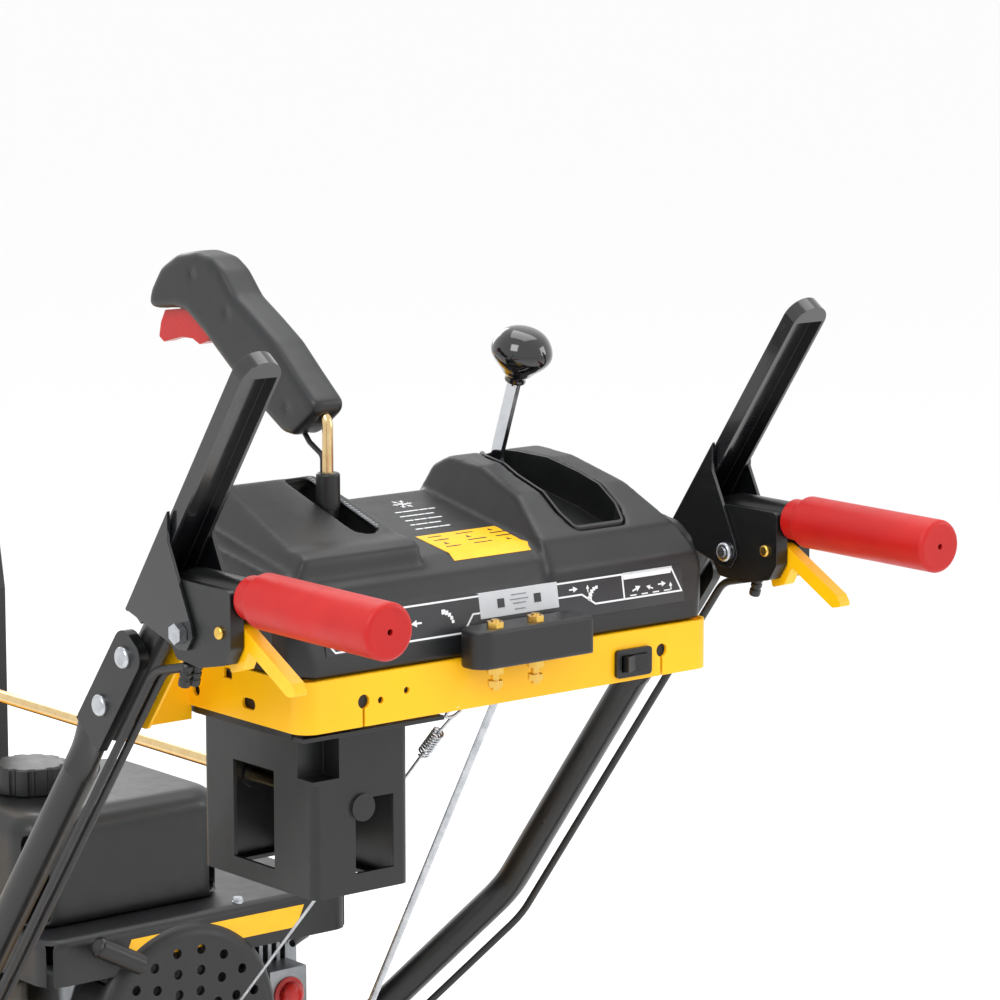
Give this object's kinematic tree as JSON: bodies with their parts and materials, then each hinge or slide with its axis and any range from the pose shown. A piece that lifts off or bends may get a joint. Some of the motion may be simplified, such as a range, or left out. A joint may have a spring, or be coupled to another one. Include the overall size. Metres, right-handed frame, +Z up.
{
  "type": "two stage snowblower",
  "caption": "Walk-behind snow thrower: wide auger housing, rotating discharge chute, engine, two wheels, looped handles with red grips, dash panel, joystick and levers.",
  "frame": {"origin": "on the ground, under the middle of the machine's bounding box", "axes": "+Z up; -Y is the way the housing's mouth faces; +X is the operator's left"},
  "size_m": [0.7126, 1.42, 1.162],
  "materials": {
    "yellow_steel": "gloss",
    "black_steel": "satin",
    "black_plastic": "satin",
    "red_grip": "satin",
    "red_plastic": "satin",
    "yellow_plastic": "gloss",
    "zinc_steel": "satin",
    "gold_zinc": "satin",
    "bright_steel": "polished",
    "black_gloss": "gloss",
    "cable": "satin",
    "tyre": "matte",
    "rim_paint": "gloss",
    "cast_alloy": "cast"
  },
  "bodies": {
    "machine": {"auger_gearbox": "cast_alloy", "auger_housing": "yellow_steel", "axle": "zinc_steel", "belt_cover": "black_plastic", "centre_block": "black_plastic", "chute_control_box": "black_plastic", "chute_gearbox": "black_plastic", "clutch_cables": "cable", "dash_bracket": "yellow_steel", "dash_panel": "black_plastic", "drive_belts": "cable", "engine_block": "cast_alloy", "engine_shroud": "black_plastic", "frame_housing": "yellow_steel", "fuel_tank": "black_plastic", "grip_left": "red_grip", "grip_right": "red_grip", "handle_fasteners": "zinc_steel", "lever_bracket_left": "black_plastic", "lever_bracket_right": "black_plastic", "lower_handle_left": "black_steel", "lower_handle_right": "black_steel", "muffler": "black_steel", "recoil_handle": "black_plastic", "rocker_frame": "black_plastic", "scraper_bar": "zinc_steel", "skid_shoes": "black_steel", "speed_gate": "black_plastic", "upper_handle_left": "black_steel", "upper_handle_right": "black_steel"},
    "clutch_lever_left": {"clutch_lever_left": "black_steel"},
    "clutch_lever_right": {"clutch_lever_right": "black_steel"},
    "steering_trigger_left": {"steering_trigger_left": "yellow_plastic"},
    "steering_trigger_right": {"steering_trigger_right": "yellow_plastic"},
    "joystick_carriage": {"joystick_carriage": "black_plastic"},
    "joystick": {"joystick_sleeve": "black_plastic", "joystick_rod": "gold_zinc", "joystick_grip": "black_plastic", "joystick_cable": "cable"},
    "joystick_trigger": {"joystick_trigger": "red_plastic"},
    "rocker": {"rocker_button": "black_plastic"},
    "speed_lever": {"speed_lever": "bright_steel", "speed_knob": "black_gloss"},
    "shift_rod": {"shift_rod": "zinc_steel"},
    "chute": {"chute": "black_plastic"},
    "chute_pinion": {"chute_pinion": "black_plastic"},
    "chute_rod": {"chute_rod": "gold_zinc"},
    "deflector": {"chute_deflector": "yellow_steel"},
    "augers": {"auger_left": "black_steel", "auger_right": "black_steel", "auger_shaft": "zinc_steel"},
    "impeller": {"impeller": "black_steel", "impeller_shaft": "zinc_steel", "impeller_pulley": "black_steel"},
    "engine_pulley": {"engine_pulley": "black_steel"},
    "wheel_left": {"rim_left": "rim_paint", "tyre_left": "tyre"},
    "wheel_right": {"rim_right": "rim_paint", "tyre_right": "tyre"},
    "fuel_cap": {"fuel_cap": "black_plastic"}
  },
  "joints": [
    {"name": "clutch_lever_left_press", "type": "hinge", "parent": "machine", "child": "clutch_lever_left", "pos_m": [0.25, 0.503, 0.93], "axis": [-1, 0, 0], "range_deg": [0, 52], "stiffness_Nm_per_rad": 1.6, "springref_deg": -22.92},
    {"name": "clutch_lever_right_press", "type": "hinge", "parent": "machine", "child": "clutch_lever_right", "pos_m": [-0.25, 0.503, 0.93], "axis": [-1, 0, 0], "range_deg": [0, 52], "stiffness_Nm_per_rad": 1.6, "springref_deg": -22.92},
    {"name": "steering_trigger_left_squeeze", "type": "hinge", "parent": "machine", "child": "steering_trigger_left", "pos_m": [0.25, 0.544, 0.936], "axis": [1, 0, 0], "range_deg": [0, 20], "stiffness_Nm_per_rad": 0.2, "springref_deg": -20.05},
    {"name": "steering_trigger_right_squeeze", "type": "hinge", "parent": "machine", "child": "steering_trigger_right", "pos_m": [-0.25, 0.544, 0.936], "axis": [1, 0, 0], "range_deg": [0, 20], "stiffness_Nm_per_rad": 0.2, "springref_deg": -20.05},
    {"name": "chute_rotate", "type": "hinge", "parent": "machine", "child": "chute", "pos_m": [0, -0.297, 0.42], "axis": [0, 0, 1], "range_deg": [-90, 90]},
    {"name": "chute_pinion_spin", "type": "hinge", "parent": "machine", "child": "chute_pinion", "pos_m": [0.085, -0.21145, 0.42], "axis": [0, 0, 1], "range_deg": [-450, 450]},
    {"name": "chute_rod_spin", "type": "hinge", "parent": "machine", "child": "chute_rod", "pos_m": [0.12, 0.1, 0.786], "axis": [0, 1, 0], "range_deg": [-450, 450]},
    {"name": "deflector_tilt", "type": "hinge", "parent": "chute", "child": "deflector", "pos_m": [0, -0.265, 0.902], "axis": [1, 0, 0], "range_deg": [-20, 20]},
    {"name": "joystick_pitch", "type": "hinge", "parent": "machine", "child": "joystick_carriage", "pos_m": [0.085, 0.422, 0.865], "axis": [1, 0, 0], "range_deg": [-14, 14]},
    {"name": "joystick_swivel", "type": "hinge", "parent": "joystick_carriage", "child": "joystick", "pos_m": [0.085, 0.422, 0.96], "axis": [0, 0, 1], "range_deg": [-31.5, 31.5]},
    {"name": "joystick_trigger_squeeze", "type": "hinge", "parent": "joystick", "child": "joystick_trigger", "pos_m": [0.085, 0.282, 1.11], "axis": [-1, 0, 0], "range_deg": [0, 9], "stiffness_Nm_per_rad": 0.02, "springref_deg": -34.38},
    {"name": "rocker_tilt", "type": "hinge", "parent": "machine", "child": "rocker", "pos_m": [-0.111, 0.533, 0.865], "axis": [0, 0, 1], "range_deg": [-16, 0]},
    {"name": "speed_select", "type": "hinge", "parent": "machine", "child": "speed_lever", "pos_m": [-0.1, 0.392, 0.885], "axis": [-1, 0, 0], "range_deg": [0, 35]},
    {"name": "shift_rod_slide", "type": "slide", "parent": "machine", "child": "shift_rod", "axis": [0, -0.5, -0.866], "range_m": [0, 0.0242]},
    {"name": "auger_spin", "type": "hinge", "parent": "machine", "child": "augers", "pos_m": [0, -0.538, 0.186], "axis": [1, 0, 0], "continuous": true},
    {"name": "impeller_spin", "type": "hinge", "parent": "machine", "child": "impeller", "pos_m": [0, -0.3, 0.22], "axis": [0, 1, 0], "continuous": true},
    {"name": "engine_pulley_spin", "type": "hinge", "parent": "machine", "child": "engine_pulley", "pos_m": [0, -0.16, 0.505], "axis": [0, 1, 0], "continuous": true},
    {"name": "wheel_left_roll", "type": "hinge", "parent": "machine", "child": "wheel_left", "pos_m": [0.245, -0.02, 0.2], "axis": [1, 0, 0], "continuous": true},
    {"name": "wheel_right_roll", "type": "hinge", "parent": "machine", "child": "wheel_right", "pos_m": [-0.245, -0.02, 0.2], "axis": [1, 0, 0], "continuous": true},
    {"name": "fuel_cap_lift", "type": "slide", "parent": "machine", "child": "fuel_cap", "axis": [0, 0, 1], "range_m": [0, 0.03]}
  ],
  "couplings": [
    {"joint": "chute_pinion_spin", "follows": "chute_rotate", "ratio": -5},
    {"joint": "chute_rod_spin", "follows": "chute_rotate", "ratio": 5},
    {"joint": "joystick_swivel", "follows": "chute_rotate", "ratio": 0.35},
    {"joint": "joystick_pitch", "follows": "deflector_tilt", "ratio": 0.7},
    {"joint": "shift_rod_slide", "follows": "speed_select", "m_per_rad": 0.03938},
    {"joint": "impeller_spin", "follows": "auger_spin", "ratio": 10}
  ]
}
